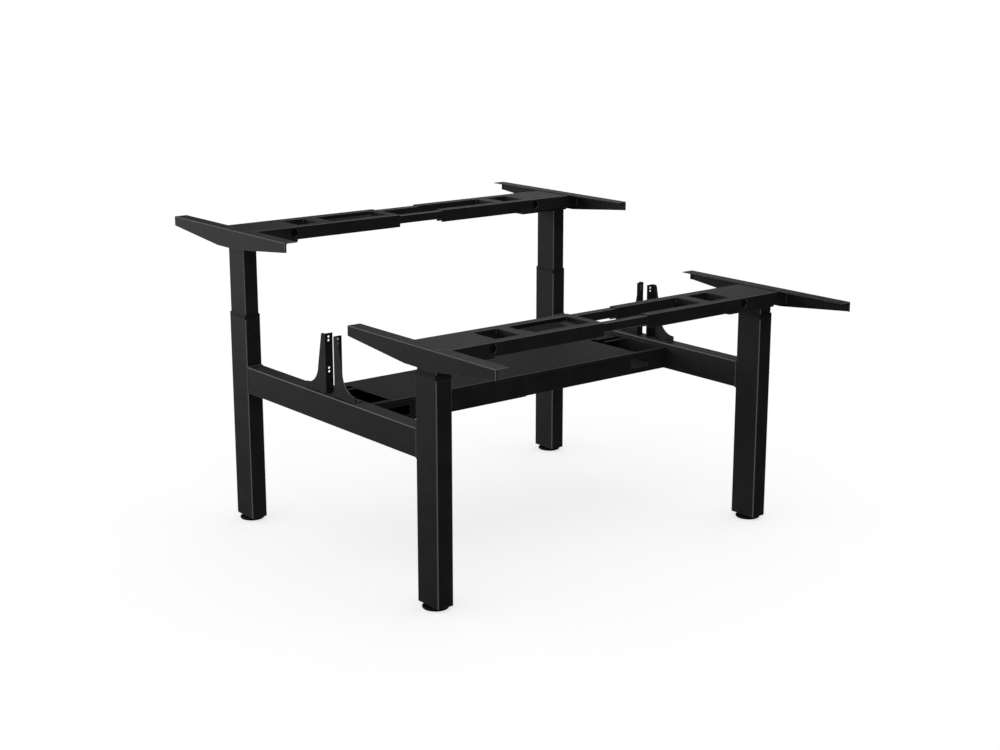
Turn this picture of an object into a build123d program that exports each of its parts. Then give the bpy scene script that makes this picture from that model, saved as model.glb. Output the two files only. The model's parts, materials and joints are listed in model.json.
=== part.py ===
"""Back-to-back electric sit-stand desk frame: four lifting columns, two desktop frames, one shared base.

Millimetres, +Z up. The origin is on the floor at the middle of the base. X runs along the desks' width and
Y from the front desk (-Y) to the back desk (+Y). The front desk is at its lowest and the back desk is raised.
"""

from build123d import *
import os

# ---------------------------------------------------------------- columns
COLUMN_X = 578.5                 # column centre from the middle, along the desks
COLUMN_Y = 457.5                 # column centre from the middle, across the desks
OUTER_TUBE = (50.0, 88.0)        # width along X, depth along Y
OUTER_TUBE_WALL = 2.0
OUTER_TUBE_RADIUS = 4.0
OUTER_TUBE_BOTTOM = 11.0
COLLAR_TOP = 623.0
COLLAR_HEIGHT = 14.0
COLLAR_EDGE = 0.8
INNER_TUBE = (44.5, 82.5)
INNER_TUBE_WALL = 1.8
INNER_TUBE_RADIUS = 3.5
INNER_TUBE_LENGTH = 592.0
SLIDING_GAP = 0.3                # clearance between pieces that slide past each other
RUNNING_GAP = 0.05               # radial clearance of a screw in its thread

# ---------------------------------------------------------------- desktop frames
LOWEST_TOP = 694.0               # top of the side arms with a desk fully down
BACK_DESK_LIFT = 176.0           # the back desk stands this much above its lowest
ARM_HALF_LENGTH = 309.0
ARM_OUTER_X = 628.0
ARM_FLANGE = 40.0
ARM_SHEET = 2.5
ARM_DEPTH = 53.0                 # web depth over the column
ARM_TIP_DEPTH = 27.0
ARM_FLAT_HALF = 55.0             # half of the straight stretch of the web's lower edge
ARM_RETURN = 7.0                 # the web turns in this far at both tips
ARM_BEND_RADIUS = 4.0            # outside of the vertical bends at the tips
ARM_FOLD_RADIUS = 2.0            # outside of the fold between flange and web
ARM_RETURN_RADIUS = 4.0          # lower free corner of the turned-in ends
TOP_HOLE_X = 606.0               # holes for the desktop's screws
TOP_HOLE_OFFSETS = (-280.0, -140.0, 140.0, 280.0)
TOP_HOLE_RADIUS = 3.5
RAIL_OFFSET = 61.5               # rail centre line from the column centre, across the desk
RAIL_WIDTH = 27.0
RAIL_HEIGHT = 37.0
RAIL_SHEET = 2.5
RAIL_EDGE = 1.5
RAIL_END_X = 78.0                # the outer rails stop this far from the middle
INNER_RAIL_HALF_LENGTH = 390.0
INNER_RAIL_HEIGHT = 25.0
INNER_RAIL_WALL = 2.0
INNER_RAIL_CORNER = 2.5
BAR_HEIGHT = 15.0
OUTER_BAR = (306.0, 341.0)       # cross bar of each half, from X to X
END_BAR = (RAIL_END_X, 102.0)    # cross bar at the end of the left rails
HOUSING = (421.0, 606.0)         # motor housing, from X to X
HOUSING_HEIGHT = 49.5
HOUSING_WALL = 2.0
HOUSING_CORNER = 3.0
CONTROL_BOX = (106.0, 300.0)     # control box, from X to X
CONTROL_BOX_HEIGHT = 27.0
CONTROL_BOX_DROP = 13.0          # its top below the frame's top
CONTROL_BOX_CORNER = 4.0
CONTROL_BOX_EDGE = 2.0
SOCKET = (13.0, 11.0)
SOCKET_COUNT = 4
SOCKET_PITCH = 20.0
SOCKET_DEPTH = 9.0

# ---------------------------------------------------------------- drive
SPINDLE_RADIUS = 7.0
SPINDLE_LENGTH = 596.0
SPINDLE_IN_GEARBOX = 14.0
SPINDLE_TIP_CHAMFER = 1.5
SPINDLE_HOLE_RADIUS = 10.0       # through the housing's floor
NUT_HEIGHT = 30.0
NUT_RADIUS = 16.0
NUT_BOTTOM = 530.0
PUSH_TUBE_RADIUS = 15.0
PUSH_TUBE_WALL = 2.0
MOTOR_RADIUS = 19.0
MOTOR_END_X = 440.0
GEARBOX = (553.0, 604.0)         # gearbox block, from X to X
GEARBOX_HALF_WIDTH = 40.0
GEARBOX_HEIGHT = 40.0
GEARBOX_CORNER = 4.0
GEARBOX_BORE_END_GAP = 1.0       # between the spindle's top and the end of its bore

# ---------------------------------------------------------------- feet
FOOT_RADIUS = 35.5
FOOT_THICKNESS = 6.0
FOOT_EDGE = 1.5
STUD_RADIUS = 5.0
STUD_TOP = 34.0
FOOT_PLATE_THICKNESS = 5.0
FOOT_BOSS_RADIUS = 10.0
FOOT_BOSS_HEIGHT = 16.0

# ---------------------------------------------------------------- base
BEAM_X = 577.5
BEAM_WIDTH = 50.0
BEAM_BOTTOM = 393.0
BEAM_TOP = 471.0
BEAM_WALL = 2.0
BEAM_RADIUS = 3.0
BEAM_INNER_X = BEAM_X - BEAM_WIDTH / 2
BEAM_HALF_LENGTH = COLUMN_Y - OUTER_TUBE[1] / 2
TRAY_HALF_WIDTH = 120.0
TRAY_BOTTOM = 394.5
TRAY_TOP = 459.5
TRAY_SHEET = 1.2
TRAY_LIP = 15.0
TRAY_NESTING = TRAY_SHEET + SLIDING_GAP  # how much smaller the right trough is, all round
RIGHT_TROUGH_END = -350.0        # the right trough's hidden end, inside the left one
WINDOW = (409.5, 480.5)          # cable window in the front wall, from X to X
WINDOW_HEIGHTS = (412.0, 440.0)
WINDOW_CORNER = 4.0
TRAY_TAB_ROWS = (57.0, 94.0)     # support tabs for the cover's ends, by Y
TRAY_TAB_WIDTH = 10.0
TRAY_TAB_REACH = 92.0
COVER_LEFT = -470.0
COVER_RIGHT = 430.0
COVER_SHEET = 1.5
COVER_LIP = 8.0
COVER_EDGE = 1.2

# ---------------------------------------------------------------- screen brackets
BRACKET_X = 588.0                # outer face of the bracket's web
BRACKET_WIDTH = 25.0
BRACKET_SHEET = 2.5
BRACKET_TOP = 636.5
SCREEN_HALF_GAP = 21.0           # half of the slot that the screen stands in
BRACKET_HOLE_HEIGHTS = (530.5, 540.5, 617.0, 627.0)
BRACKET_HOLE_RADIUS = 3.5
BRACKET_FOOT_END = 118.0         # the foot runs out to this distance from the middle
BRACKET_TOE_HEIGHT = 488.0       # the web's height at the foot's end
BRACKET_NECK = (58.0, 540.0)     # where the web starts to flare: distance from the middle, height
BRACKET_FLARE = (74.0, 505.0)    # a point on the flare
BRACKET_TOP_REACH = 38.5         # the web's edge at the top, from the middle
BRACKET_TOP_RADIUS = 6.0
FOOT_BOLT_ROWS = (50.0, 98.0)    # bolts through the bracket's foot, by distance from the middle

# ---------------------------------------------------------------- fasteners
BOLT_HEAD_RADIUS = 8.0
BOLT_HEAD_HEIGHT = 4.0
BOLT_HEAD_CROWN = 2.0
BOLT_SHANK_RADIUS = 4.0
BOLT_HOLE_RADIUS = 4.2
RAIL_BOLT_X = 450.0
RAIL_BOLT_DROP = 19.5            # below the frame's top
ACCESS_HOLE_RADIUS = 13.0        # in the rail's outer wall, for the tool that turns the bolt
SMALL_HEAD_RADIUS = 6.0
SMALL_HEAD_HEIGHT = 3.5
SMALL_HEAD_CROWN = 1.6
SMALL_BOLT_LENGTH = 12.5         # under the head
SMALL_SHANK_RADIUS = 3.0
SMALL_HOLE_RADIUS = 3.2
ARM_SCREW_HEAD_RADIUS = 5.5
ARM_SCREW_LENGTH = 12.0
COUNTERSINK_TAPER = 33.0         # degrees from the screw's axis
SCREW_HEAD_GAP = 0.2
BOLT_HEX = (3.5, 2.2)            # hex socket of a rail bolt: radius to its corners, depth
SMALL_HEX = (2.3, 1.8)
ARM_SCREW_HEX = (2.3, 1.6)

SIDES = {"left": -1, "right": 1}
DESKS = {"front": -1, "back": 1}


def save(piece, name):
    """Label a finished piece and write it as its own STEP file."""
    piece.label = name
    export_step(piece, "parts/" + name + ".step")


def span(side, limits):
    """Middle and length of a stretch given as two distances from the middle of the desk."""
    return side * (limits[0] + limits[1]) / 2, limits[1] - limits[0]


def frame_top(desk):
    """Top of the side arms of one desk."""
    return LOWEST_TOP + (BACK_DESK_LIFT if desk > 0 else 0.0)


# ================================================================ columns
def outer_tube(side, desk):
    """Fixed outer tube of one column."""
    inner_size = [size - 2 * OUTER_TUBE_WALL for size in OUTER_TUBE]
    with BuildPart() as tube:
        with BuildSketch(Plane.XY.offset(OUTER_TUBE_BOTTOM)):
            with Locations((side * COLUMN_X, desk * COLUMN_Y)):
                RectangleRounded(*OUTER_TUBE, OUTER_TUBE_RADIUS)
                RectangleRounded(*inner_size, OUTER_TUBE_RADIUS - OUTER_TUBE_WALL, mode=Mode.SUBTRACT)
        extrude(amount=COLLAR_TOP - COLLAR_HEIGHT - OUTER_TUBE_BOTTOM)
    return tube.part


def column_spots(side):
    """Centres of the two columns on one side."""
    return [(side * COLUMN_X, desk * COLUMN_Y) for desk in DESKS.values()]


def guide_collars(side):
    """Plastic guides on the outer tubes' mouths, one per column."""
    mouth = [size + 2 * SLIDING_GAP for size in INNER_TUBE]
    with BuildPart() as collars:
        with BuildSketch(Plane.XY.offset(COLLAR_TOP - COLLAR_HEIGHT)):
            with Locations(*column_spots(side)):
                RectangleRounded(*OUTER_TUBE, OUTER_TUBE_RADIUS)
                RectangleRounded(*mouth, INNER_TUBE_RADIUS, mode=Mode.SUBTRACT)
        extrude(amount=COLLAR_HEIGHT)
        fillet(collars.edges().group_by(Axis.Z)[-1], radius=COLLAR_EDGE)
    return collars.part


def foot_plates(side):
    """Plates that close the outer tubes' lower ends, each with a threaded boss for its foot."""
    plate_size = [size - 2 * OUTER_TUBE_WALL for size in OUTER_TUBE]
    with BuildPart() as plates:
        with BuildSketch(Plane.XY.offset(OUTER_TUBE_BOTTOM)):
            with Locations(*column_spots(side)):
                RectangleRounded(*plate_size, OUTER_TUBE_RADIUS - OUTER_TUBE_WALL)
        extrude(amount=FOOT_PLATE_THICKNESS)
        with BuildSketch(Plane.XY.offset(OUTER_TUBE_BOTTOM + FOOT_PLATE_THICKNESS)):
            with Locations(*column_spots(side)):
                Circle(FOOT_BOSS_RADIUS)
        extrude(amount=FOOT_BOSS_HEIGHT)
        with BuildSketch(Plane.XY.offset(OUTER_TUBE_BOTTOM)):
            with Locations(*column_spots(side)):
                Circle(STUD_RADIUS + RUNNING_GAP)
        extrude(amount=FOOT_PLATE_THICKNESS + FOOT_BOSS_HEIGHT, mode=Mode.SUBTRACT)
    return plates.part


def push_tubes(side):
    """Tubes that stand on the foot plates and carry the spindle nuts."""
    bottom = OUTER_TUBE_BOTTOM + FOOT_PLATE_THICKNESS
    with BuildPart() as tubes:
        with BuildSketch(Plane.XY.offset(bottom)):
            with Locations(*column_spots(side)):
                Circle(PUSH_TUBE_RADIUS)
                Circle(PUSH_TUBE_RADIUS - PUSH_TUBE_WALL, mode=Mode.SUBTRACT)
        extrude(amount=NUT_BOTTOM - bottom)
    return tubes.part


def spindle_nuts(side):
    """Nuts on the push tubes' tops, in which the spindles turn."""
    with BuildPart() as nuts:
        with BuildSketch(Plane.XY.offset(NUT_BOTTOM)):
            with Locations(*column_spots(side)):
                Circle(NUT_RADIUS)
                Circle(SPINDLE_RADIUS + RUNNING_GAP, mode=Mode.SUBTRACT)
        extrude(amount=NUT_HEIGHT)
    return nuts.part


def levelling_foot(side, desk):
    """Round foot with its threaded stud, turned as one piece."""
    with BuildPart() as foot:
        with BuildSketch(Plane.XY):
            with Locations((side * COLUMN_X, desk * COLUMN_Y)):
                Circle(FOOT_RADIUS)
        extrude(amount=FOOT_THICKNESS)
        chamfer(foot.edges().group_by(Axis.Z)[-1], length=FOOT_EDGE)
        with BuildSketch(Plane.XY.offset(FOOT_THICKNESS)):
            with Locations((side * COLUMN_X, desk * COLUMN_Y)):
                Circle(STUD_RADIUS)
        extrude(amount=STUD_TOP - FOOT_THICKNESS)
    return foot.part


# ================================================================ lifting part of each column
def inner_tube(side, desk):
    """Moving inner tube, welded under the motor housing."""
    bore = [size - 2 * INNER_TUBE_WALL for size in INNER_TUBE]
    top = frame_top(desk) - ARM_SHEET - HOUSING_HEIGHT
    with BuildPart() as tube:
        with BuildSketch(Plane.XY.offset(top - INNER_TUBE_LENGTH)):
            with Locations((side * COLUMN_X, desk * COLUMN_Y)):
                RectangleRounded(*INNER_TUBE, INNER_TUBE_RADIUS)
                RectangleRounded(*bore, INNER_TUBE_RADIUS - INNER_TUBE_WALL, mode=Mode.SUBTRACT)
        extrude(amount=INNER_TUBE_LENGTH)
    return tube.part


def spindle(side, desk):
    """Lead screw that hangs from the gearbox and runs down through the nut."""
    top = frame_top(desk) - ARM_SHEET - HOUSING_HEIGHT + SPINDLE_IN_GEARBOX
    with BuildPart() as screw:
        with BuildSketch(Plane.XY.offset(top - SPINDLE_LENGTH)):
            with Locations((side * COLUMN_X, desk * COLUMN_Y)):
                Circle(SPINDLE_RADIUS)
        extrude(amount=SPINDLE_LENGTH)
        chamfer(screw.edges().group_by(Axis.Z)[0], length=SPINDLE_TIP_CHAMFER)
    return screw.part


def gear_motor(side, desk):
    """Worm gearbox over the column with its motor lying along the desk."""
    floor = frame_top(desk) - ARM_SHEET - HOUSING_HEIGHT + HOUSING_WALL
    block_x, block_length = span(side, GEARBOX)
    motor_height = floor + GEARBOX_HEIGHT / 2
    with BuildPart() as drive:
        with BuildSketch(Plane.XY.offset(floor)):
            with Locations((block_x, desk * COLUMN_Y)):
                RectangleRounded(block_length, 2 * GEARBOX_HALF_WIDTH, GEARBOX_CORNER)
        extrude(amount=GEARBOX_HEIGHT)
        with BuildSketch(Plane.YZ.offset(side * GEARBOX[0])):
            with Locations((desk * COLUMN_Y, motor_height)):
                Circle(MOTOR_RADIUS)
        extrude(amount=-side * (GEARBOX[0] - MOTOR_END_X))
        with BuildSketch(Plane.XY.offset(floor)):
            with Locations((side * COLUMN_X, desk * COLUMN_Y)):
                Circle(SPINDLE_RADIUS + RUNNING_GAP)
        extrude(amount=SPINDLE_IN_GEARBOX - HOUSING_WALL + GEARBOX_BORE_END_GAP, mode=Mode.SUBTRACT)
    return drive.part


def motor_housing(side, desk):
    """Sheet steel housing between the rails, over the column's head."""
    top = frame_top(desk) - ARM_SHEET
    middle, length = span(side, HOUSING)
    half_width = RAIL_OFFSET - RAIL_WIDTH / 2
    with BuildPart() as housing:
        with BuildSketch(Plane.XY.offset(top - HOUSING_HEIGHT)):
            with Locations((middle, desk * COLUMN_Y)):
                RectangleRounded(length, 2 * half_width, HOUSING_CORNER)
        extrude(amount=HOUSING_HEIGHT)
        with BuildSketch(Plane.XY.offset(top - HOUSING_HEIGHT + HOUSING_WALL)):
            with Locations((middle, desk * COLUMN_Y)):
                RectangleRounded(
                    length - 2 * HOUSING_WALL, 2 * half_width - 2 * HOUSING_WALL, HOUSING_CORNER - HOUSING_WALL
                )
        extrude(amount=HOUSING_HEIGHT - 2 * HOUSING_WALL, mode=Mode.SUBTRACT)
        with BuildSketch(Plane.XY.offset(top - HOUSING_HEIGHT)):
            with Locations((side * COLUMN_X, desk * COLUMN_Y)):
                Circle(SPINDLE_HOLE_RADIUS)
        extrude(amount=HOUSING_WALL, mode=Mode.SUBTRACT)
        with BuildSketch(Plane.XZ.offset(-desk * COLUMN_Y)):
            with Locations((side * RAIL_BOLT_X, frame_top(desk) - RAIL_BOLT_DROP)):
                Circle(BOLT_HOLE_RADIUS)
        extrude(amount=half_width, both=True, mode=Mode.SUBTRACT)
    return housing.part


# ================================================================ desktop frames
def side_arm(side, desk):
    """Folded side arm: a flange under the desktop and a web that tapers to both tips, where it turns inwards."""
    top = frame_top(desk)
    middle = desk * COLUMN_Y
    outer_side = -1 if side > 0 else 0
    bend = ARM_BEND_RADIUS - ARM_SHEET
    with BuildPart() as arm:
        with BuildSketch(Plane.XY.offset(top)) as flange:
            with Locations((side * (ARM_OUTER_X - ARM_FLANGE / 2), middle)):
                Rectangle(ARM_FLANGE, 2 * ARM_HALF_LENGTH)
            fillet(flange.vertices().group_by(Axis.X)[outer_side], radius=ARM_BEND_RADIUS)
        extrude(amount=-ARM_SHEET)
        with BuildSketch(Plane.XY.offset(top)) as web:
            with Locations((side * (ARM_OUTER_X - ARM_RETURN / 2), middle)):
                Rectangle(ARM_RETURN, 2 * ARM_HALF_LENGTH)
            fillet(web.vertices().group_by(Axis.X)[outer_side], radius=ARM_BEND_RADIUS)
            with Locations((side * (ARM_OUTER_X - ARM_SHEET - ARM_RETURN), middle)):
                RectangleRounded(2 * ARM_RETURN, 2 * (ARM_HALF_LENGTH - ARM_SHEET), bend, mode=Mode.SUBTRACT)
        extrude(amount=-ARM_DEPTH)
        with BuildSketch(Plane.YZ.offset(side * (ARM_OUTER_X - ARM_RETURN))):
            for end in (-1, 1):
                with BuildLine():
                    Polyline(
                        (middle + end * ARM_HALF_LENGTH, top - ARM_TIP_DEPTH),
                        (middle + end * ARM_FLAT_HALF, top - ARM_DEPTH),
                        (middle + end * ARM_HALF_LENGTH, top - ARM_DEPTH),
                        close=True,
                    )
                make_face()
        extrude(amount=side * ARM_RETURN, mode=Mode.SUBTRACT)
        free_corners = [
            arm.edges().filter_by(Axis.Y).sort_by_distance(
                (
                    side * (ARM_OUTER_X - ARM_RETURN),
                    middle + end * (ARM_HALF_LENGTH - ARM_SHEET / 2),
                    top - ARM_TIP_DEPTH,
                )
            )[0]
            for end in (-1, 1)
        ]
        fillet(free_corners, radius=ARM_RETURN_RADIUS)
        fold = arm.edges().filter_by(Axis.Y).sort_by_distance((side * ARM_OUTER_X, middle, top))[0]
        fillet(fold, radius=ARM_FOLD_RADIUS)
        with BuildSketch(Plane.XY.offset(top)):
            with Locations(*[(side * TOP_HOLE_X, middle + offset) for offset in TOP_HOLE_OFFSETS]):
                Circle(TOP_HOLE_RADIUS)
        extrude(amount=-ARM_SHEET, mode=Mode.SUBTRACT)
        with BuildSketch(Plane.XY.offset(top)):
            with Locations(*[(side * TOP_HOLE_X, middle + row * RAIL_OFFSET) for row in (-1, 1)]):
                Circle(ARM_SCREW_HEAD_RADIUS)
        extrude(amount=-ARM_SHEET, taper=COUNTERSINK_TAPER, mode=Mode.SUBTRACT)
    return arm.part


def rail_frame(side, desk):
    """Weldment of one half of a desktop frame: two rails and the cross bars between them, all open below."""
    top = frame_top(desk) - ARM_SHEET
    rail_middle, rail_length = span(side, (RAIL_END_X, ARM_OUTER_X - ARM_SHEET))
    rows = [(rail_middle, desk * COLUMN_Y + row * RAIL_OFFSET) for row in (-1, 1)]
    bars = [OUTER_BAR, END_BAR] if side < 0 else [OUTER_BAR]
    with BuildPart() as frame:
        with BuildSketch(Plane.XY.offset(top - RAIL_HEIGHT)):
            with Locations(*rows):
                Rectangle(rail_length, RAIL_WIDTH)
        extrude(amount=RAIL_HEIGHT)
        fillet(frame.edges().filter_by(Axis.X).group_by(Axis.Z)[-1], radius=RAIL_EDGE)
        for limits in bars:
            bar_middle, bar_width = span(side, limits)
            with BuildSketch(Plane.XY.offset(top - BAR_HEIGHT)):
                with Locations((bar_middle, desk * COLUMN_Y)):
                    Rectangle(bar_width, 2 * RAIL_OFFSET - RAIL_WIDTH)
            extrude(amount=BAR_HEIGHT)
            with BuildSketch(Plane.XY.offset(top - BAR_HEIGHT)):
                with Locations((bar_middle, desk * COLUMN_Y)):
                    Rectangle(bar_width - 2 * RAIL_SHEET, 2 * RAIL_OFFSET - RAIL_WIDTH)
            extrude(amount=BAR_HEIGHT - RAIL_SHEET, mode=Mode.SUBTRACT)
        with BuildSketch(Plane.XY.offset(top - RAIL_HEIGHT)):
            with Locations(*rows):
                Rectangle(rail_length, RAIL_WIDTH - 2 * RAIL_SHEET)
        extrude(amount=RAIL_HEIGHT - RAIL_SHEET, mode=Mode.SUBTRACT)
        with BuildSketch(Plane.XZ.offset(-desk * COLUMN_Y)):
            with Locations((side * RAIL_BOLT_X, frame_top(desk) - RAIL_BOLT_DROP)):
                Circle(BOLT_HOLE_RADIUS)
        extrude(amount=RAIL_OFFSET, both=True, mode=Mode.SUBTRACT)
        for row in (-1, 1):
            with BuildSketch(Plane.XZ.offset(-(desk * COLUMN_Y + row * (RAIL_OFFSET + RAIL_WIDTH / 2)))):
                with Locations((side * RAIL_BOLT_X, frame_top(desk) - RAIL_BOLT_DROP)):
                    Circle(ACCESS_HOLE_RADIUS)
            extrude(amount=row * RAIL_SHEET, mode=Mode.SUBTRACT)
        with BuildSketch(Plane.XY.offset(top)):
            with Locations(*[(side * TOP_HOLE_X, row[1]) for row in rows]):
                Circle(SMALL_HOLE_RADIUS)
        extrude(amount=-RAIL_SHEET, mode=Mode.SUBTRACT)
    return frame.part


def inner_rails(desk):
    """Pair of tubes that join the left and right halves and set the desk's width."""
    top = frame_top(desk) - ARM_SHEET - RAIL_SHEET - SLIDING_GAP
    width = RAIL_WIDTH - 2 * RAIL_SHEET - 2 * SLIDING_GAP
    bore = (width - 2 * INNER_RAIL_WALL, INNER_RAIL_HEIGHT - 2 * INNER_RAIL_WALL)
    rows = [(desk * COLUMN_Y + row * RAIL_OFFSET, top - INNER_RAIL_HEIGHT / 2) for row in (-1, 1)]
    with BuildPart() as rails:
        with BuildSketch(Plane.YZ.offset(-INNER_RAIL_HALF_LENGTH)):
            with Locations(*rows):
                RectangleRounded(width, INNER_RAIL_HEIGHT, INNER_RAIL_CORNER)
                RectangleRounded(*bore, INNER_RAIL_CORNER - INNER_RAIL_WALL, mode=Mode.SUBTRACT)
        extrude(amount=2 * INNER_RAIL_HALF_LENGTH)
    return rails.part


def frame_screws(side, desk):
    """Round-headed bolts from inside the rails into the housing, and countersunk screws through the arm."""
    top = frame_top(desk)
    seat = RAIL_OFFSET - RAIL_WIDTH / 2 + RAIL_SHEET
    bolt_spot = (side * RAIL_BOLT_X, top - RAIL_BOLT_DROP)
    screw_spots = [(side * TOP_HOLE_X, desk * COLUMN_Y + row * RAIL_OFFSET) for row in (-1, 1)]
    with BuildPart() as screws:
        for row in (-1, 1):
            head_plane = Plane.XZ.offset(-(desk * COLUMN_Y + row * seat))
            with BuildSketch(head_plane):
                with Locations(bolt_spot):
                    Circle(BOLT_HEAD_RADIUS)
            extrude(amount=-row * BOLT_HEAD_HEIGHT)
            with BuildSketch(head_plane):
                with Locations(bolt_spot):
                    Circle(BOLT_SHANK_RADIUS)
            extrude(amount=row * (RAIL_SHEET + HOUSING_WALL))
        crowns = screws.edges().filter_by(GeomType.CIRCLE).group_by(Axis.Y)
        fillet(crowns[0] + crowns[-1], radius=BOLT_HEAD_CROWN)
        for row in (-1, 1):
            with BuildSketch(Plane.XZ.offset(-(desk * COLUMN_Y + row * (seat + BOLT_HEAD_HEIGHT)))):
                with Locations(bolt_spot):
                    RegularPolygon(BOLT_HEX[0], 6)
            extrude(amount=row * BOLT_HEX[1], mode=Mode.SUBTRACT)
        with BuildSketch(Plane.XY.offset(top)):
            with Locations(*screw_spots):
                Circle(ARM_SCREW_HEAD_RADIUS - SCREW_HEAD_GAP)
        extrude(amount=-ARM_SHEET, taper=COUNTERSINK_TAPER)
        with BuildSketch(Plane.XY.offset(top - ARM_SHEET)):
            with Locations(*screw_spots):
                Circle(SMALL_SHANK_RADIUS)
        extrude(amount=-ARM_SCREW_LENGTH)
        with BuildSketch(Plane.XY.offset(top)):
            with Locations(*screw_spots):
                RegularPolygon(ARM_SCREW_HEX[0], 6)
        extrude(amount=-ARM_SCREW_HEX[1], mode=Mode.SUBTRACT)
    return screws.part


def control_box(desk):
    """Drive electronics between the left rails, with its sockets on the end towards the left motor."""
    top = frame_top(desk) - CONTROL_BOX_DROP
    middle, length = span(-1, CONTROL_BOX)
    half_width = RAIL_OFFSET - RAIL_WIDTH / 2
    with BuildPart() as box:
        with BuildSketch(Plane.XY.offset(top - CONTROL_BOX_HEIGHT)):
            with Locations((middle, desk * COLUMN_Y)):
                RectangleRounded(length, 2 * half_width, CONTROL_BOX_CORNER)
        extrude(amount=CONTROL_BOX_HEIGHT)
        fillet(box.edges().group_by(Axis.Z)[-1], radius=CONTROL_BOX_EDGE)
        with BuildSketch(Plane.YZ.offset(-CONTROL_BOX[1])):
            with Locations((desk * COLUMN_Y, top - CONTROL_BOX_HEIGHT / 2)):
                with GridLocations(SOCKET_PITCH, 1.0, SOCKET_COUNT, 1):
                    Rectangle(*SOCKET)
        extrude(amount=SOCKET_DEPTH, mode=Mode.SUBTRACT)
    return box.part


# ================================================================ base
def cross_beam(side):
    """Rectangular tube that joins the front and back columns of one side."""
    height = BEAM_TOP - BEAM_BOTTOM
    bore = (BEAM_WIDTH - 2 * BEAM_WALL, height - 2 * BEAM_WALL)
    with BuildPart() as beam:
        with BuildSketch(Plane.XZ.offset(-BEAM_HALF_LENGTH)):
            with Locations((side * BEAM_X, (BEAM_BOTTOM + BEAM_TOP) / 2)):
                RectangleRounded(BEAM_WIDTH, height, BEAM_RADIUS)
                RectangleRounded(*bore, BEAM_RADIUS - BEAM_WALL, mode=Mode.SUBTRACT)
        extrude(amount=2 * BEAM_HALF_LENGTH)
        with BuildSketch(Plane.XY.offset(BEAM_TOP)):
            with Locations(*foot_bolt_spots(side)):
                Circle(SMALL_HOLE_RADIUS)
        extrude(amount=-BEAM_WALL, mode=Mode.SUBTRACT)
    return beam.part


def tray_trough(side):
    """Half of the cable trough: floor, two walls with lips, an end plate and two cover tabs."""
    nesting = TRAY_NESTING if side > 0 else 0.0
    half_width = TRAY_HALF_WIDTH - nesting
    bottom = TRAY_BOTTOM + nesting
    top = TRAY_TOP - nesting
    free_end = RIGHT_TROUGH_END if side > 0 else 0.0
    length = BEAM_INNER_X - side * free_end
    window_middle, window_length = span(side, WINDOW)
    tab_middle, tab_length = span(side, (BEAM_INNER_X - TRAY_TAB_REACH, BEAM_INNER_X))
    with BuildPart() as trough:
        with BuildSketch(Plane.YZ.offset(side * BEAM_INNER_X)):
            with Locations((0, (bottom + top) / 2)):
                Rectangle(2 * half_width, top - bottom)
                Rectangle(2 * (half_width - TRAY_SHEET), top - bottom - 2 * TRAY_SHEET, mode=Mode.SUBTRACT)
            with Locations((0, top - TRAY_SHEET / 2)):
                Rectangle(2 * (half_width - TRAY_LIP), TRAY_SHEET, mode=Mode.SUBTRACT)
        extrude(amount=-side * length)
        with BuildSketch(Plane.YZ.offset(side * BEAM_INNER_X)):
            with Locations((0, (bottom + top) / 2)):
                Rectangle(2 * half_width, top - bottom)
        extrude(amount=-side * TRAY_SHEET)
        with BuildSketch(Plane.XY.offset(top)):
            with Locations(*[(tab_middle, row) for row in TRAY_TAB_ROWS]):
                Rectangle(tab_length, TRAY_TAB_WIDTH)
        extrude(amount=-TRAY_SHEET)
        with BuildSketch(Plane.XZ.offset(half_width)):
            with Locations((window_middle, sum(WINDOW_HEIGHTS) / 2)):
                RectangleRounded(window_length, WINDOW_HEIGHTS[1] - WINDOW_HEIGHTS[0], WINDOW_CORNER)
        extrude(amount=-TRAY_SHEET, mode=Mode.SUBTRACT)
    return trough.part


def tray_cover():
    """Lid of the cable trough, with its long edges turned down."""
    top = TRAY_TOP + COVER_SHEET
    half_width = TRAY_HALF_WIDTH + COVER_SHEET
    with BuildPart() as cover:
        with BuildSketch(Plane.YZ.offset(COVER_LEFT)):
            with Locations((0, top - COVER_LIP / 2)):
                Rectangle(2 * half_width, COVER_LIP)
            with Locations((0, TRAY_TOP - (COVER_LIP - COVER_SHEET) / 2)):
                Rectangle(2 * TRAY_HALF_WIDTH, COVER_LIP - COVER_SHEET, mode=Mode.SUBTRACT)
        extrude(amount=COVER_RIGHT - COVER_LEFT)
        fillet(cover.edges().filter_by(Axis.X).group_by(Axis.Z)[-1], radius=COVER_EDGE)
    return cover.part


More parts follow.
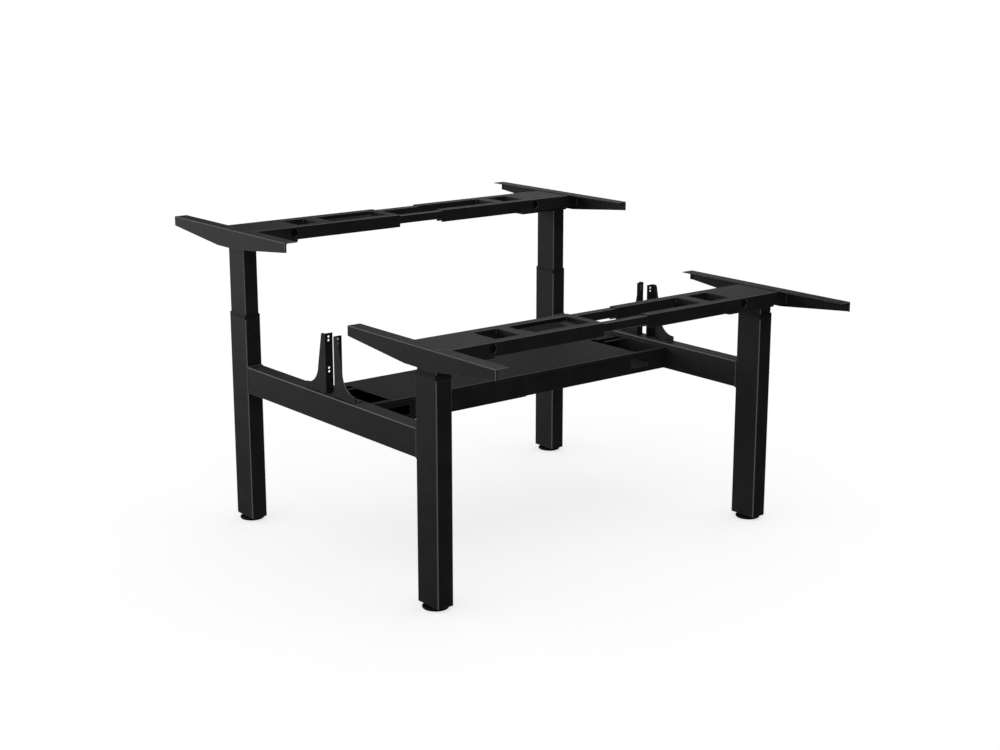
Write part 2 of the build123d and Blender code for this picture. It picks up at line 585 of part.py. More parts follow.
def screen_bracket(side, desk):
    """Upright for a screen between the desks: a drilled flange, a flared web and a bolted foot."""
    edge = desk * SCREEN_HALF_GAP
    toe = (desk * BRACKET_FOOT_END, BRACKET_TOE_HEIGHT)
    neck = (desk * BRACKET_NECK[0], BRACKET_NECK[1])
    top_corner = (desk * BRACKET_TOP_REACH, BRACKET_TOP)
    middle = side * (BRACKET_X - BRACKET_WIDTH / 2)
    web_plane = Plane.YZ.offset(side * (BRACKET_X - BRACKET_SHEET / 2))
    with BuildPart() as bracket:
        with BuildSketch(web_plane):
            with BuildLine():
                Polyline(toe, (toe[0], BEAM_TOP), (edge, BEAM_TOP), (edge, BRACKET_TOP), top_corner, neck)
                ThreePointArc(neck, (desk * BRACKET_FLARE[0], BRACKET_FLARE[1]), toe)
            make_face()
        extrude(amount=BRACKET_SHEET / 2, both=True)
        with BuildSketch(Plane.XY.offset(BEAM_TOP)):
            with Locations((middle, edge + desk * BRACKET_SHEET / 2)):
                Rectangle(BRACKET_WIDTH, BRACKET_SHEET)
        extrude(amount=BRACKET_TOP - BEAM_TOP)
        with BuildSketch(Plane.XY.offset(BEAM_TOP)):
            with Locations((middle, (edge + toe[0]) / 2)):
                Rectangle(BRACKET_WIDTH, BRACKET_FOOT_END - SCREEN_HALF_GAP)
            with Locations(*foot_bolt_spots(side, desk)):
                Circle(SMALL_HOLE_RADIUS, mode=Mode.SUBTRACT)
        extrude(amount=BRACKET_SHEET)
        corner = bracket.edges().filter_by(Axis.X).sort_by_distance((side * BRACKET_X, *top_corner))
        fillet(corner[0], radius=BRACKET_TOP_RADIUS)
        with BuildSketch(Plane.XZ.offset(-edge)):
            with Locations(*[(middle, height) for height in BRACKET_HOLE_HEIGHTS]):
                Circle(BRACKET_HOLE_RADIUS)
        extrude(amount=-desk * BRACKET_SHEET, mode=Mode.SUBTRACT)
    return bracket.part


def foot_bolt_spots(side, *desks):
    """Bolts that hold the screen brackets down, for one desk or for both."""
    bolt_x = side * (BRACKET_X - BRACKET_WIDTH / 2)
    return [(bolt_x, desk * row) for desk in (desks or DESKS.values()) for row in FOOT_BOLT_ROWS]


def base_bolts(side):
    """Button-head bolts through the brackets' feet into the cross beam."""
    seat = BEAM_TOP + BRACKET_SHEET
    with BuildPart() as bolts:
        with BuildSketch(Plane.XY.offset(seat)):
            with Locations(*foot_bolt_spots(side)):
                Circle(SMALL_HEAD_RADIUS)
        extrude(amount=SMALL_HEAD_HEIGHT)
        fillet(bolts.edges().group_by(Axis.Z)[-1], radius=SMALL_HEAD_CROWN)
        with BuildSketch(Plane.XY.offset(seat + SMALL_HEAD_HEIGHT)):
            with Locations(*foot_bolt_spots(side)):
                RegularPolygon(SMALL_HEX[0], 6)
        extrude(amount=-SMALL_HEX[1], mode=Mode.SUBTRACT)
        with BuildSketch(Plane.XY.offset(seat)):
            with Locations(*foot_bolt_spots(side)):
                Circle(SMALL_SHANK_RADIUS)
        extrude(amount=-SMALL_BOLT_LENGTH)
    return bolts.part


# ================================================================ every piece, written out
os.makedirs("parts", exist_ok=True)

for side_name, side in SIDES.items():
    save(guide_collars(side), "guide_collars_" + side_name)
    save(foot_plates(side), "foot_plates_" + side_name)
    save(push_tubes(side), "push_tubes_" + side_name)
    save(spindle_nuts(side), "spindle_nuts_" + side_name)
    save(cross_beam(side), "cross_beam_" + side_name)
    save(tray_trough(side), "tray_trough_" + side_name)
    save(base_bolts(side), "base_bolts_" + side_name)
    for desk_name, desk in DESKS.items():
        place = "_" + desk_name + "_" + side_name
        save(outer_tube(side, desk), "outer_tube" + place)
        save(levelling_foot(side, desk), "levelling_foot" + place)
        save(inner_tube(side, desk), "inner_tube" + place)
        save(spindle(side, desk), "spindle" + place)
        save(gear_motor(side, desk), "gear_motor" + place)
        save(motor_housing(side, desk), "motor_housing" + place)
        save(side_arm(side, desk), "side_arm" + place)
        save(rail_frame(side, desk), "rail_frame" + place)
        save(frame_screws(side, desk), "frame_screws" + place)
        save(screen_bracket(side, desk), "screen_bracket" + place)

for desk_name, desk in DESKS.items():
    save(inner_rails(desk), "inner_rails_" + desk_name)
    save(control_box(desk), "control_box_" + desk_name)

save(tray_cover(), "tray_cover")
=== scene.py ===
"""Back-to-back sit-stand desk frame: finishes, added hardware, floor, lights and camera.

Metres, +Z up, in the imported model's own frame. X runs along the desks, Y from the front desk to the back one.
"""

import json
import math

import bmesh
import bpy
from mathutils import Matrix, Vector


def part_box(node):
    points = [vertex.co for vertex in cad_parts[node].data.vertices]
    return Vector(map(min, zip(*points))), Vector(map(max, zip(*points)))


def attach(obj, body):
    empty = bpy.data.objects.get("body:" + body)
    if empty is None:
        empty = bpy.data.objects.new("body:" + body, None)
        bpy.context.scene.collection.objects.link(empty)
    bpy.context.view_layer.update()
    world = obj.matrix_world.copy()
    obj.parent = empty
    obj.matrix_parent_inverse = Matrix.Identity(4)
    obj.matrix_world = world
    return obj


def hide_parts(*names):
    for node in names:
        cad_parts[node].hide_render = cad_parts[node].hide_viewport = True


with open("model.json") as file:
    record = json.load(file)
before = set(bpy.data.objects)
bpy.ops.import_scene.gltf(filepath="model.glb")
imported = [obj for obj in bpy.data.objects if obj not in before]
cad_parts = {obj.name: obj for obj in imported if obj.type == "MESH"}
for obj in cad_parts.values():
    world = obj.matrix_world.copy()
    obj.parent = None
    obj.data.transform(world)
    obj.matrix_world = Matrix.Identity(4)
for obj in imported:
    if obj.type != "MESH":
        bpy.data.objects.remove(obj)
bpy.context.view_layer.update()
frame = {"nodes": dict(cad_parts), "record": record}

MM = 0.001
SIDES = ("left", "right")
DESKS = ("front", "back")
PLACES = [(desk, side) for desk in DESKS for side in SIDES]
SHARP_ANGLE = 38.0                           # degrees between faces, past which an edge is shaded sharp


# ================================================================ shader maths
def grey(value):
    return (value,) * 3


class Signal:
    """One output of a finish's nodes. Arithmetic on it adds Math nodes."""

    def __init__(self, finish, socket):
        self.finish = finish
        self.socket = socket

    def maths(self, operation, *terms):
        return self.finish.node("ShaderNodeMath", {"operation": operation}, dict(enumerate(terms)))

    def __add__(self, other):
        return self.maths("ADD", self, other)

    def __sub__(self, other):
        return self.maths("SUBTRACT", self, other)

    def __mul__(self, other):
        return self.maths("MULTIPLY", self, other)

    def __rsub__(self, other):
        return self.maths("SUBTRACT", other, self)

    __radd__ = __add__
    __rmul__ = __mul__

    def at_least(self, other):
        """The larger of the two."""
        return self.maths("MAXIMUM", self, other)

    def ramped(self, low, high):
        """0 below low, 1 above high, smooth between them."""
        sockets = {"Value": self, "From Min": low, "From Max": high}
        return self.finish.node("ShaderNodeMapRange", {"interpolation_type": "SMOOTHSTEP"}, sockets)


class Finish:
    """A material under construction. Its constants go straight on to the shader's sockets."""

    def __init__(self, name, **constants):
        self.material = bpy.data.materials.new(name)
        self.material.use_nodes = True
        self.tree = self.material.node_tree
        self.shader = self.tree.nodes["Principled BSDF"]
        for words, value in constants.items():
            self.shader.inputs[words.replace("_", " ").title().replace("Ior", "IOR")].default_value = value
        self.place = self.node("ShaderNodeTexCoord", output="Object")

    def node(self, kind, settings=None, sockets=None, output=0):
        """Add a node: its settings first, then the values or links of its sockets."""
        made = self.tree.nodes.new(kind)
        for setting, value in (settings or {}).items():
            setattr(made, setting, value)
        for socket, value in (sockets or {}).items():
            if isinstance(value, Signal):
                self.tree.links.new(value.socket, made.inputs[socket])
            else:
                made.inputs[socket].default_value = value
        return Signal(self, made.outputs[output])

    def noise(self, size, detail=2.0, roughness=0.5, stretch=(1.0, 1.0, 1.0)):
        """Cloudy variation with features about this size, in metres."""
        where = self.place
        if stretch != (1.0, 1.0, 1.0):
            where = self.node("ShaderNodeVectorMath", {"operation": "MULTIPLY"}, {0: where, 1: stretch})
        sockets = {"Vector": where, "Scale": 1.0 / size, "Detail": detail, "Roughness": roughness}
        return self.node("ShaderNodeTexNoise", sockets=sockets)

    def cells(self, size, feature="F1"):
        """Cell pattern with cells about this size, in metres."""
        sockets = {"Vector": self.place, "Scale": 1.0 / size}
        return self.node("ShaderNodeTexVoronoi", {"feature": feature}, sockets, "Distance")

    def along(self, first, second):
        """Dot product of two directions."""
        return self.node("ShaderNodeVectorMath", {"operation": "DOT_PRODUCT"}, {0: first, 1: second}, "Value")

    def facing(self, axis):
        """How much the surface faces along an axis of the model, from -1 to 1."""
        return self.along(self.node("ShaderNodeTexCoord", output="Normal"), axis)

    def corners(self, low=0.01, high=0.14):
        """1 on rounded corners and folds, 0 on faces that lie square to the frame."""
        normal = self.node("ShaderNodeTexCoord", output="Normal")
        split = self.node("ShaderNodeVectorMath", {"operation": "ABSOLUTE"}, {0: normal})
        parts = [self.node("ShaderNodeSeparateXYZ", sockets={0: split}, output=axis) for axis in range(3)]
        return (1.0 - parts[0].at_least(parts[1]).at_least(parts[2])).ramped(low, high)

    def edges(self, radius, low=0.02, high=0.30):
        """1 on a convex or concave edge within radius, 0 on a flat face."""
        rounded = self.node("ShaderNodeBevel", {"samples": 4}, {"Radius": radius})
        flat = self.node("ShaderNodeNewGeometry", output="True Normal")
        return (1.0 - self.along(rounded, flat)).ramped(low, high)

    def blend(self, factor, first, second):
        """Mix of two colours, each a signal, a red, green, blue triple or one grey value."""
        colours = {6: first, 7: second}
        for socket, colour in colours.items():
            if isinstance(colour, float):
                colour = grey(colour)
            colours[socket] = (*colour, 1.0) if isinstance(colour, tuple) else colour
        return self.node("ShaderNodeMix", {"data_type": "RGBA"}, {0: factor, **colours}, 2)

    def bump(self, height, depth):
        """Relief of this depth, in metres, where height is 1."""
        return self.node("ShaderNodeBump", sockets={"Height": height, "Distance": depth, "Strength": 1.0})

    def feed(self, **signals):
        """Link signals to the shader's sockets."""
        for words, signal in signals.items():
            self.tree.links.new(signal.socket, self.shader.inputs[words.replace("_", " ").title()])
        return self.material


# ================================================================ finishes
# Colours are linear, and a single value is a grey.
COAT_DARK = (0.0145, 0.0145, 0.0150)
COAT_LIGHT = (0.0190, 0.0190, 0.0193)
COAT_DUST_AND_TOP_LIGHT = (0.0260, 0.0260, 0.0258)      # dust, and painted light, on faces that look up
COAT_FLECK = 0.030
COAT_CORNER_HIGHLIGHT = (0.185, 0.185, 0.187)            # painted highlight on rounded corners and folds
COAT_EDGE_WEAR_AND_HIGHLIGHT = (0.150, 0.150, 0.152)          # edge wear and a painted highlight on sharp edges
COAT_RELIEF = 0.12 * MM
UP = (0.0, 0.0, 1.0)

PLASTIC_GLOSS = 0.20
PLASTIC_RELIEF = 0.08 * MM
EDGE_WEAR_AND_HIGHLIGHT_GAIN = 3.0                            # a plastic edge is this much lighter: wear and a painted highlight

STEEL_GREY = (0.56, 0.56, 0.57)
STEEL_ROUGHNESS = 0.24
STEEL_DRAWN = (1.0, 1.0, 12.0)               # draw lines run round the rods
STEEL_RELIEF = 0.03 * MM

OXIDE_DARK = (0.006, 0.006, 0.0065)
OXIDE_LIGHT = (0.011, 0.011, 0.0115)
# Rim colour: wear, and a painted highlight.
OXIDE_EDGE_WEAR_AND_HIGHLIGHT = (0.07, 0.07, 0.072)
OXIDE_RELIEF = 0.04 * MM

CASTING_DARK = (0.36, 0.36, 0.37)
CASTING_LIGHT = (0.50, 0.50, 0.51)
CASTING_RELIEF = 0.10 * MM


def powder_coat(name, gloss, dullness):
    """Matt black powder coat: orange peel and faint mottling, with a painted highlight on corners and edges;
    the edges are also worn.
    """
    coat = Finish(name, specular_ior_level=gloss)
    mottle = coat.noise(60.0 * MM, detail=4.0)
    grain = coat.noise(1.1 * MM)
    peel = coat.cells(2.6 * MM, "SMOOTH_F1")
    # Edges made lighter and smoother: wear, and a painted highlight.
    edge_wear_and_highlight = coat.edges(1.4 * MM)
    # Rounded corners and folds made lighter: a painted highlight.
    corner_highlight = coat.corners()
    # Faces that look up made lighter: dust, and painted light on the tops.
    dust_and_top_light = coat.facing(UP).ramped(0.75, 1.0)
    flecks = (grain - 0.5).ramped(0.10, 0.26)
    body = coat.blend(mottle.ramped(0.30, 0.70), COAT_DARK, COAT_LIGHT)
    body = coat.blend(dust_and_top_light * mottle * 0.25, body, COAT_DUST_AND_TOP_LIGHT)
    body = coat.blend(flecks * 0.22, body, COAT_FLECK)
    body = coat.blend(corner_highlight * (0.80 + grain * 0.20), body, COAT_CORNER_HIGHLIGHT)
    body = coat.blend(edge_wear_and_highlight * (0.60 + grain * 0.40), body, COAT_EDGE_WEAR_AND_HIGHLIGHT)
    shine = dullness + mottle * 0.14 + grain * 0.08 - edge_wear_and_highlight * 0.10
    relief = coat.bump(grain * 0.35 + peel * 0.65, COAT_RELIEF)
    return coat.feed(base_color=body, roughness=shine, normal=relief)


def moulded_plastic(name, dark, light, grain_size, roughness):
    """Moulded plastic with a spark-eroded grain, a little lighter on its edges: wear and a painted highlight.
    """
    plastic = Finish(name, specular_ior_level=PLASTIC_GLOSS)
    mottle = plastic.noise(30.0 * MM, detail=3.0)
    grain = plastic.cells(grain_size)
    # Edges made lighter and smoother: wear, and a painted highlight.
    edge_wear_and_highlight = plastic.edges(1.2 * MM)
    body = plastic.blend(mottle, dark, light)
    body = plastic.blend(edge_wear_and_highlight * 0.35, body, tuple(EDGE_WEAR_AND_HIGHLIGHT_GAIN * part for part in light))
    shine = roughness + mottle * 0.12 - edge_wear_and_highlight * 0.10
    relief = plastic.bump(grain + mottle * 0.2, PLASTIC_RELIEF)
    return plastic.feed(base_color=body, roughness=shine, normal=relief)


def drawn_steel():
    """Bare drawn steel with fine lines and light oil stains."""
    steel = Finish("bare_steel", metallic=1.0)
    lines = steel.noise(1.2 * MM, detail=3.0, stretch=STEEL_DRAWN)
    stain = steel.noise(22.0 * MM, detail=5.0, roughness=0.62)
    body = steel.blend(stain.ramped(0.42, 0.72), STEEL_GREY, tuple(part * 0.55 for part in STEEL_GREY))
    body = steel.blend(lines * 0.25, body, tuple(part * 0.75 for part in STEEL_GREY))
    shine = STEEL_ROUGHNESS + stain * 0.22 + lines * 0.08
    return steel.feed(base_color=body, roughness=shine, normal=steel.bump(lines, STEEL_RELIEF))


def blackened_bolt():
    """Black oxide on a machined bolt head, with a fine grain, and lighter at the rim: wear and a painted
    highlight.
    """
    black = Finish("black_oxide_bolt", specular_ior_level=0.35)
    stain = black.noise(6.0 * MM, detail=4.0)
    grain = black.noise(0.6 * MM)
    # Rim made lighter: wear, and a painted highlight.
    edge_wear_and_highlight = black.edges(0.8 * MM)
    body = black.blend(stain, OXIDE_DARK, OXIDE_LIGHT)
    body = black.blend(edge_wear_and_highlight * 0.5, body, OXIDE_EDGE_WEAR_AND_HIGHLIGHT)
    shine = 0.34 + stain * 0.16
    return black.feed(base_color=body, roughness=shine, normal=black.bump(grain, OXIDE_RELIEF))


def cast_aluminium():
    """Die-cast gearbox and motor can, with a fine sand-blasted skin."""
    metal = Finish("cast_aluminium", metallic=1.0)
    sand = metal.noise(0.9 * MM)
    cloud = metal.noise(25.0 * MM, detail=4.0)
    body = metal.blend(cloud, CASTING_DARK, CASTING_LIGHT)
    shine = 0.42 + cloud * 0.18
    return metal.feed(base_color=body, roughness=shine, normal=metal.bump(sand, CASTING_RELIEF))


FINISHES = {
    "black_steel": powder_coat("black_powder_coat", 0.30, 0.50),
    "tray_sheet": powder_coat("fine_black_powder_coat", 0.16, 0.60),
    "black_plastic": moulded_plastic("black_plastic", grey(0.0125), grey(0.0165), 0.9 * MM, 0.50),
    "foot_plastic": moulded_plastic("foot_plastic", grey(0.0060), grey(0.0090), 0.7 * MM, 0.58),
    "foot_rubber": moulded_plastic("foot_rubber", grey(0.0040), grey(0.0065), 0.5 * MM, 0.80),
    "nut_plastic": moulded_plastic("nut_plastic", (0.62, 0.61, 0.56), (0.70, 0.69, 0.64), 1.0 * MM, 0.40),
    "bare_steel": drawn_steel(),
    "motor_metal": cast_aluminium(),
    "black_bolts": blackened_bolt(),
}


# ================================================================ dressing the CAD nodes
def dress(nodes):
    """Give each CAD node the finish of its slot in the record. The trough's sheets have a finer coat."""
    slots = {part["node"]: part["material_slot"] for part in frame["record"]["subparts"]}
    for name, piece in nodes.items():
        finish = "tray_sheet" if name.startswith("tray_") else slots[name]
        piece.data.materials.clear()
        piece.data.materials.append(FINISHES[finish])


dress(frame["nodes"])


# ================================================================ mesh helpers
THREAD_SIDES = 24
THREAD_ROWS = 6                              # rings of points in one pitch
THREAD_DEPTH = 0.6                           # in pitches
WELD_STEP = 0.8 * MM
WELD_RIPPLE = 2.4 * MM                       # from one ripple to the next
WELD_WANDER = 7.1 * MM
WELD_SIDES = 8
WELD_TIP = 0.4 * MM                          # an open bead thins out towards its ends
WELD_TAPER = 3.0 * MM


def make_piece(name, surface, body, slot, finish=None):
    """Turn finished mesh work into a piece that rides on a body."""
    bmesh.ops.recalc_face_normals(surface, faces=surface.faces)
    mesh = bpy.data.meshes.new(name)
    surface.to_mesh(mesh)
    surface.free()
    mesh.shade_smooth()
    mesh.set_sharp_from_angle(angle=math.radians(SHARP_ANGLE))
    mesh.materials.append(FINISHES[finish or slot])
    piece = bpy.data.objects.new(name, mesh)
    bpy.context.scene.collection.objects.link(piece)
    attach(piece, body)
    return piece


def skin(surface, rings, caps=True):
    """Join rings of points, each a closed loop, into a tube."""
    for lower, upper in zip(rings, rings[1:]):
        for first, second, third, fourth in zip(lower, lower[1:] + lower[:1], upper[1:] + upper[:1], upper):
            surface.faces.new((first, second, third, fourth))
    if caps:
        surface.faces.new(rings[0])
        surface.faces.new(rings[-1])


def round_spot(centre, turn, radius, height):
    """Point at an angle and a radius from a vertical line, at a height."""
    return centre[0] + radius * math.cos(turn), centre[1] + radius * math.sin(turn), height


def turned(surface, outline, centre, sides, reach=lambda turn, radius: radius):
    """Revolve (radius, height) points about a vertical line. reach may vary a radius round the turn."""
    rings = []
    for radius, height in outline:
        ring = []
        for turn in (math.tau * step / sides for step in range(sides)):
            ring.append(surface.verts.new(round_spot(centre, turn, reach(turn, radius), centre[2] + height)))
        rings.append(ring)
    skin(surface, rings)


def block(surface, low, high, rounding):
    """Box from corner to corner with rounded edges."""
    corners = bmesh.ops.create_cube(surface, size=1.0)["verts"]
    for corner in corners:
        corner.co = [start + (part + 0.5) * (end - start) for start, end, part in zip(low, high, corner.co)]
    edges = list({edge for corner in corners for edge in corner.link_edges})
    bmesh.ops.bevel(surface, geom=edges, offset=rounding, segments=2, profile=0.5, affect="EDGES")


def threaded_rod(surface, centre, radius, pitch, bottom, top):
    """Vertical rod with a sharp single-start thread."""
    rings = []
    for row in range(int((top - bottom) / pitch * THREAD_ROWS) + 1):
        ring = []
        for step in range(THREAD_SIDES):
            flank = (row / THREAD_ROWS - step / THREAD_SIDES) % 1.0
            here = radius - THREAD_DEPTH * pitch * abs(2.0 * flank - 1.0)
            height = bottom + row * pitch / THREAD_ROWS
            ring.append(surface.verts.new(round_spot(centre, math.tau * step / THREAD_SIDES, here, height)))
        rings.append(ring)
    skin(surface, rings)


def weld_bead(surface, corners, across, radius, closed=False):
    """Rippled weld along straight stretches. across is a direction square to all of them."""
    route = [Vector(corner) for corner in corners] + ([Vector(corners[0])] if closed else [])
    total = sum((end - start).length for start, end in zip(route, route[1:]))
    across = Vector(across)
    rings = []
    done = 0.0
    for start, end in zip(route, route[1:]):
        length = (end - start).length
        steps = max(2, round(length / WELD_STEP))
        side = ((end - start) / length).cross(across)
        for step in range(steps):
            place = done + length * step / steps
            ripple = 0.86 + 0.14 * math.sin(math.pi * ((place / WELD_RIPPLE) % 1.0))
            ripple += 0.05 * math.sin(place / WELD_WANDER)
            if not closed:
                ripple *= min(1.0, math.sqrt((min(place, total - place) + WELD_TIP) / WELD_TAPER))
            here = start + (end - start) * (step / steps)
            ring = []
            for turn in (math.tau * part / WELD_SIDES for part in range(WELD_SIDES)):
                reach = side * math.cos(turn) + across * math.sin(turn)
                ring.append(surface.verts.new(here + reach * (radius * ripple)))
            rings.append(ring)
        done += length
    skin(surface, rings + rings[:1] if closed else rings, caps=not closed)


def middle(low, high):
    """Middle of a box's floor plan."""
    return (low[0] + high[0]) / 2, (low[1] + high[1]) / 2


# ================================================================ levelling feet
FOOT_SCALLOPS = 20
SCALLOP_DEPTH = 0.9 * MM
SCALLOP_REACH = 2.0 * MM                     # only this close to the rim
# The pad's outline from the sole up and over: (inset from the rim, height), then (radius, height), in mm.
FOOT_RIM = (
    (1.2, 1.2), (0.3, 1.9), (0.0, 2.6), (0.0, 4.2), (0.4, 5.1), (1.3, 5.8), (3.0, 6.0), (6.5, 6.0), (7.2, 5.6),
)
FOOT_DISH = ((16.0, 5.2), (13.5, 5.4), (12.5, 6.2))
# The wrench hexagon's outline: (radius to its corners, height), in mm.
FOOT_HUB = ((10.0, 5.8), (10.0, 9.0), (9.3, 9.6))
# The sole's outline: (inset from the rim, height), in mm.
FOOT_SOLE = ((2.4, 0.0), (1.6, 0.5), (1.6, 1.6))
SOLE_SIDES = 96
STUD_RADIUS = 4.95 * MM
STUD_PITCH = 1.5 * MM
STUD_FOOT = 6.0 * MM
STUD_TIP_GAP = 0.3 * MM


def levelling_foot(desk, side):
    """Moulded pad with finger scallops and a wrench hexagon, a rubber sole and a threaded stud."""
    place = desk + "_" + side
    low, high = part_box("levelling_foot_" + place)
    centre = (*middle(low, high), low[2])
    rim = (high[0] - low[0]) / 2
    body = "foot_" + place

    def scalloped(turn, radius):
        if radius < rim - SCALLOP_REACH:
            return radius
        return radius - SCALLOP_DEPTH * max(0.0, math.cos(FOOT_SCALLOPS * turn)) ** 2

    pad = bmesh.new()
    outline = [(rim - inset * MM, height * MM) for inset, height in FOOT_RIM]
    outline += [(radius * MM, height * MM) for radius, height in FOOT_DISH]
    turned(pad, outline, centre, 6 * FOOT_SCALLOPS, scalloped)
    turned(pad, [(radius * MM, height * MM) for radius, height in FOOT_HUB], centre, 6)
    made = make_piece("foot_pad_" + place, pad, body, "foot_plastic")
    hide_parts("levelling_foot_" + place)

    sole = bmesh.new()
    turned(sole, [(rim - inset * MM, height * MM) for inset, height in FOOT_SOLE], centre, SOLE_SIDES)
    make_piece("foot_sole_" + place, sole, body, "foot_plastic", "foot_rubber")

    stud = bmesh.new()
    threaded_rod(stud, centre, STUD_RADIUS, STUD_PITCH, low[2] + STUD_FOOT, high[2] - STUD_TIP_GAP)
    make_piece("foot_stud_" + place, stud, body, "bare_steel")


# ================================================================ control boxes
RIB_COUNT = 9
RIB_LENGTH = 118.0 * MM
RIB_WIDTH = 2.6 * MM
RIB_HEIGHT = 1.3 * MM
RIB_ROOT = 0.6 * MM                          # each rib starts this far inside the lid
RIB_ROUNDING = 0.5 * MM
LID_SCREW_INSET = 9.0 * MM
LID_SCREW_RADIUS = 2.9 * MM
LID_SCREW_SIDES = 36
# A screw head's outline: (radius, height), in mm. The last two points are its six-lobed recess.
LID_SCREW = ((2.9, -0.4), (2.9, 0.64), (2.32, 1.36), (1.74, 1.6), (1.16, 1.6), (1.102, 0.48))
RECESS_LOBES = 6
RECESS_LOBE_DEPTH = 0.14
SOCKETS = 4
SOCKET_PITCH = 20.0 * MM
SOCKET_DEPTH = 9.0 * MM
PIN_COLUMNS = (-3.6 * MM, 0.0, 3.6 * MM)
PIN_ROWS = (-2.1 * MM, 2.1 * MM)
PIN_LENGTH = 5.0 * MM
PIN_HALF = 0.5 * MM                          # half its thickness, and how far it goes into the case
PIN_ROUNDING = 0.15 * MM


def lid_ribs(low, high):
    """Cooling ribs along the middle of a control box's lid."""
    centre_x, centre_y = middle(low, high)
    spacing = (high[1] - low[1] - 4.0 * LID_SCREW_INSET) / (RIB_COUNT - 1)
    ribs = bmesh.new()
    for number in range(RIB_COUNT):
        across = centre_y + spacing * (number - (RIB_COUNT - 1) / 2)
        start = (centre_x - RIB_LENGTH / 2, across - RIB_WIDTH / 2, high[2] - RIB_ROOT)
        end = (centre_x + RIB_LENGTH / 2, across + RIB_WIDTH / 2, high[2] + RIB_HEIGHT)
        block(ribs, start, end, RIB_ROUNDING)
    return ribs


def lid_screws(low, high):
    """Domed screws with a six-lobed recess in a lid's corners."""
    outline = [(radius * MM, height * MM) for radius, height in LID_SCREW]

    def lobed(turn, radius):
        if radius > LID_SCREW_RADIUS / 2:
            return radius
        return radius * (1.0 + RECESS_LOBE_DEPTH * math.cos(RECESS_LOBES * turn))

    screws = bmesh.new()
    for x in (low[0] + LID_SCREW_INSET, high[0] - LID_SCREW_INSET):
        for y in (low[1] + LID_SCREW_INSET, high[1] - LID_SCREW_INSET):
            turned(screws, outline, (x, y, high[2]), LID_SCREW_SIDES, lobed)
    return screws


def socket_contacts(low, high):
    """Six contact pins in the back of each socket of a control box."""
    centre_y = middle(low, high)[1]
    centre_z = (low[2] + high[2]) / 2
    back = low[0] + SOCKET_DEPTH
    contacts = bmesh.new()
    for number in range(SOCKETS):
        across = centre_y + SOCKET_PITCH * (number - (SOCKETS - 1) / 2)
        for y in (across + column for column in PIN_COLUMNS):
            for z in (centre_z + row for row in PIN_ROWS):
                start = (back - PIN_LENGTH, y - PIN_HALF, z - PIN_HALF)
                end = (back + PIN_HALF, y + PIN_HALF, z + PIN_HALF)
                block(contacts, start, end, PIN_ROUNDING)
    return contacts


def control_box_fittings(desk):
    low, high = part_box("control_box_" + desk)
    body = "top_" + desk + "_left"
    make_piece("control_box_ribs_" + desk, lid_ribs(low, high), body, "black_plastic")
    make_piece("control_box_screws_" + desk, lid_screws(low, high), body, "black_bolts")
    make_piece("control_box_contacts_" + desk, socket_contacts(low, high), body, "bare_steel")


# ================================================================ welds
BEAM_WELD = 2.0 * MM                         # radius of a bead
FRAME_WELD = 1.5 * MM
ARM_SHEET = 2.5 * MM
BAR_HEIGHT = 15.0 * MM
BAR_TOP_GAP = 1.0 * MM                       # a bar's bead stops this far below its top
OUTER_BAR = (306.0 * MM, 341.0 * MM)         # both sides of a frame's outer cross bar, from the middle
END_BAR = 102.0 * MM                         # outer side of the cross bar at the left rails' ends
ALONG_X = (1.0, 0.0, 0.0)
ALONG_Y = (0.0, 1.0, 0.0)


def beam_welds(side):
    """Beads round both ends of a cross beam, where it meets the columns."""
    low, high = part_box("cross_beam_" + side)
    beads = bmesh.new()
    for y in (low[1], high[1]):
        ring = [(low[0], y, low[2]), (high[0], y, low[2]), (high[0], y, high[2]), (low[0], y, high[2])]
        weld_bead(beads, ring, ALONG_Y, BEAM_WELD, closed=True)
    make_piece("beam_welds_" + side, beads, side + "_base", "black_steel")


def frame_welds(desk, side):
    """Beads in the corners of a frame's cross bars, at its rails' ends and round its column's head."""
    place = desk + "_" + side
    low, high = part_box("rail_frame_" + place)
    housing_low, housing_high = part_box("motor_housing_" + place)
    between_rails = (housing_low[1], housing_high[1])
    sign = -1.0 if side == "left" else 1.0
    bar_sides = (*OUTER_BAR, END_BAR) if side == "left" else OUTER_BAR
    beads = bmesh.new()
    for x in (sign * from_middle for from_middle in bar_sides):
        for y in between_rails:
            bead = [(x, y, high[2] - BAR_HEIGHT), (x, y, high[2] - BAR_TOP_GAP)]
            weld_bead(beads, bead, ALONG_X, FRAME_WELD)
    end = low[0] if side == "left" else high[0]
    for y in (low[1], *between_rails, high[1]):
        weld_bead(beads, [(end, y, low[2]), (end, y, high[2] - ARM_SHEET)], ALONG_X, FRAME_WELD)
    tube_low, tube_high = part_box("inner_tube_" + place)
    head = [(tube_low[0], tube_low[1]), (tube_high[0], tube_low[1])]
    head += [(tube_high[0], tube_high[1]), (tube_low[0], tube_high[1])]
    weld_bead(beads, [(x, y, tube_high[2]) for x, y in head], UP, FRAME_WELD, closed=True)
    make_piece("frame_welds_" + place, beads, "top_" + place, "black_steel")


for desk, side in PLACES:
    levelling_foot(desk, side)
    frame_welds(desk, side)
for desk in DESKS:
    control_box_fittings(desk)
for side in SIDES:
    beam_welds(side)


# ================================================================ floor, lights and camera
FLOOR_REACH = 40.0                           # the paper lies flat this far out, then sweeps up
SWEEP_RADIUS = 6.0
SWEEP_TOP = 30.0
SWEEP_STEPS = 12
PAPER_SIDES = 96
PAPER_GLOW = 0.70                            # the paper's own brightness, as if lit from behind
PAPER_TINTS = (0.90, 0.92)
AMBIENT = 0.42                               # even light from all round
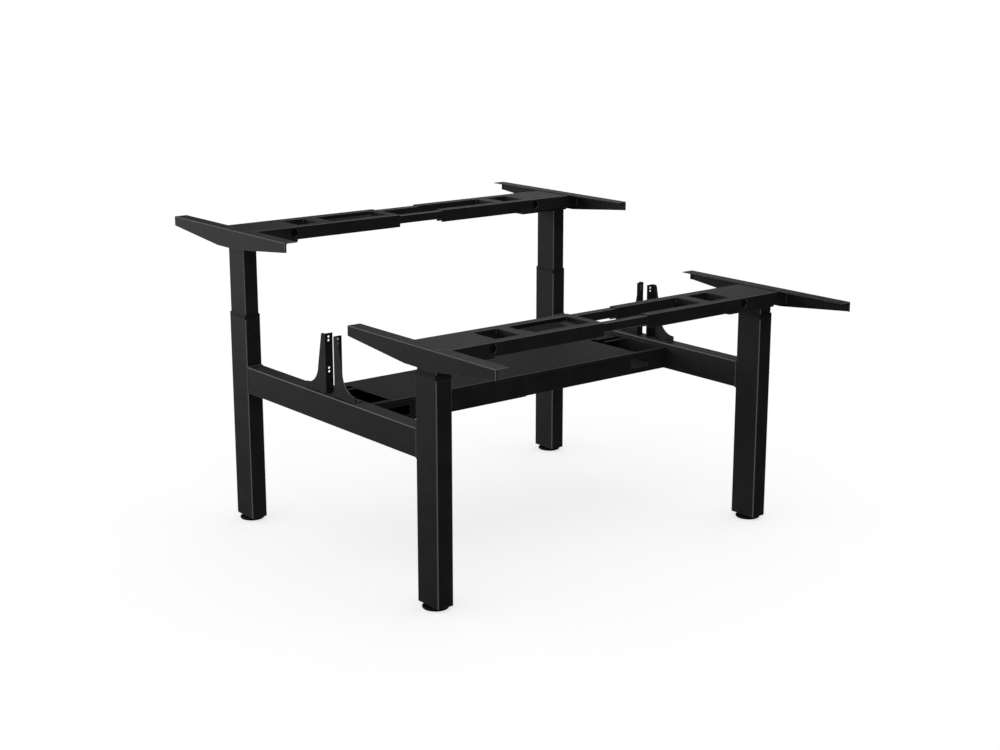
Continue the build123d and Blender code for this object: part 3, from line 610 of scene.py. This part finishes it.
# Soft boxes: name, place, target, size in metres, power in watts.
SOFT_BOXES = (
    ("overhead", (0.0, 0.6, 3.4), (0.0, 0.0, 0.4), 3.0, 46.0),
    ("key_left", (-2.9, 2.9, 1.3), (0.0, 0.0, 0.5), 2.0, 60.0),
    ("rim_right", (3.8, 3.8, 2.3), (0.0, 0.0, 0.6), 2.4, 18.0),
)
SENSOR_WIDTH = 36.0                          # millimetres, as the lens is
LENS = 60.99
CAMERA_SPOT = (-2.9994, -3.7444, 1.6316)
CAMERA_TILT = 75.99                          # degrees up from straight down
CAMERA_TURN = -38.69                         # degrees from looking along +Y


def backdrop():
    """Seamless pale paper: flat floor, swept up into a wall all the way round."""
    outline = [(0.0, 0.0)]
    for turn in (math.radians(90.0 * step / SWEEP_STEPS) for step in range(SWEEP_STEPS + 1)):
        outline.append((FLOOR_REACH + SWEEP_RADIUS * math.sin(turn), SWEEP_RADIUS * (1.0 - math.cos(turn))))
    outline += [(FLOOR_REACH + SWEEP_RADIUS, SWEEP_TOP), (0.0, SWEEP_TOP)]
    surface = bmesh.new()
    points = [surface.verts.new((reach, 0.0, height)) for reach, height in outline]
    edges = [surface.edges.new(pair) for pair in zip(points, points[1:])]
    spun = {"cent": (0.0, 0.0, 0.0), "axis": UP, "angle": math.tau, "steps": PAPER_SIDES, "use_merge": True}
    bmesh.ops.spin(surface, geom=points + edges, **spun)
    bmesh.ops.remove_doubles(surface, verts=surface.verts, dist=1e-4)
    mesh = bpy.data.meshes.new("studio_paper")
    surface.to_mesh(mesh)
    surface.free()
    made = bpy.data.objects.new("studio_paper", mesh)
    bpy.context.scene.collection.objects.link(made)
    paper = Finish("studio_paper", specular_ior_level=0.0, roughness=0.9, emission_strength=PAPER_GLOW)
    cloud = paper.noise(2.5, detail=2.0)
    tint = paper.blend(cloud, *PAPER_TINTS)
    mesh.materials.append(paper.feed(base_color=tint, emission_color=tint))
    made.visible_diffuse = False
    made.visible_glossy = False
    made.visible_shadow = False
    return made


def soft_box(name, spot, target, size, power, lights):
    """Square area light at a spot, turned to a target, that lights what its collection says."""
    light = bpy.data.lights.new(name, "AREA")
    light.shape = "SQUARE"
    light.size = size
    light.energy = power
    made = bpy.data.objects.new(name, light)
    made.location = spot
    made.rotation_euler = (Vector(target) - Vector(spot)).to_track_quat("-Z", "Y").to_euler()
    made.light_linking.receiver_collection = lights
    bpy.context.scene.collection.objects.link(made)


def studio(paper):
    """Even light from all round, and soft boxes that are kept off the paper."""
    world = bpy.data.worlds.new("studio")
    world.use_nodes = True
    background = world.node_tree.nodes["Background"]
    background.inputs["Color"].default_value = (1.0, 1.0, 1.0, 1.0)
    background.inputs["Strength"].default_value = AMBIENT
    world.cycles_visibility.glossy = False
    bpy.context.scene.world = world
    bpy.context.scene.view_settings.view_transform = "Standard"
    but_paper = bpy.data.collections.new("all_but_paper")
    but_paper.objects.link(paper)
    but_paper.collection_objects[0].light_linking.link_state = "EXCLUDE"
    for box in SOFT_BOXES:
        soft_box(*box, but_paper)


def camera():
    """Camera above desk height, to the left of the front."""
    view = bpy.data.cameras.new("camera")
    view.sensor_width = SENSOR_WIDTH
    view.lens = LENS
    made = bpy.data.objects.new("camera", view)
    made.location = CAMERA_SPOT
    made.rotation_euler = (math.radians(CAMERA_TILT), 0.0, math.radians(CAMERA_TURN))
    bpy.context.scene.collection.objects.link(made)
    bpy.context.scene.camera = made


studio(backdrop())
camera()
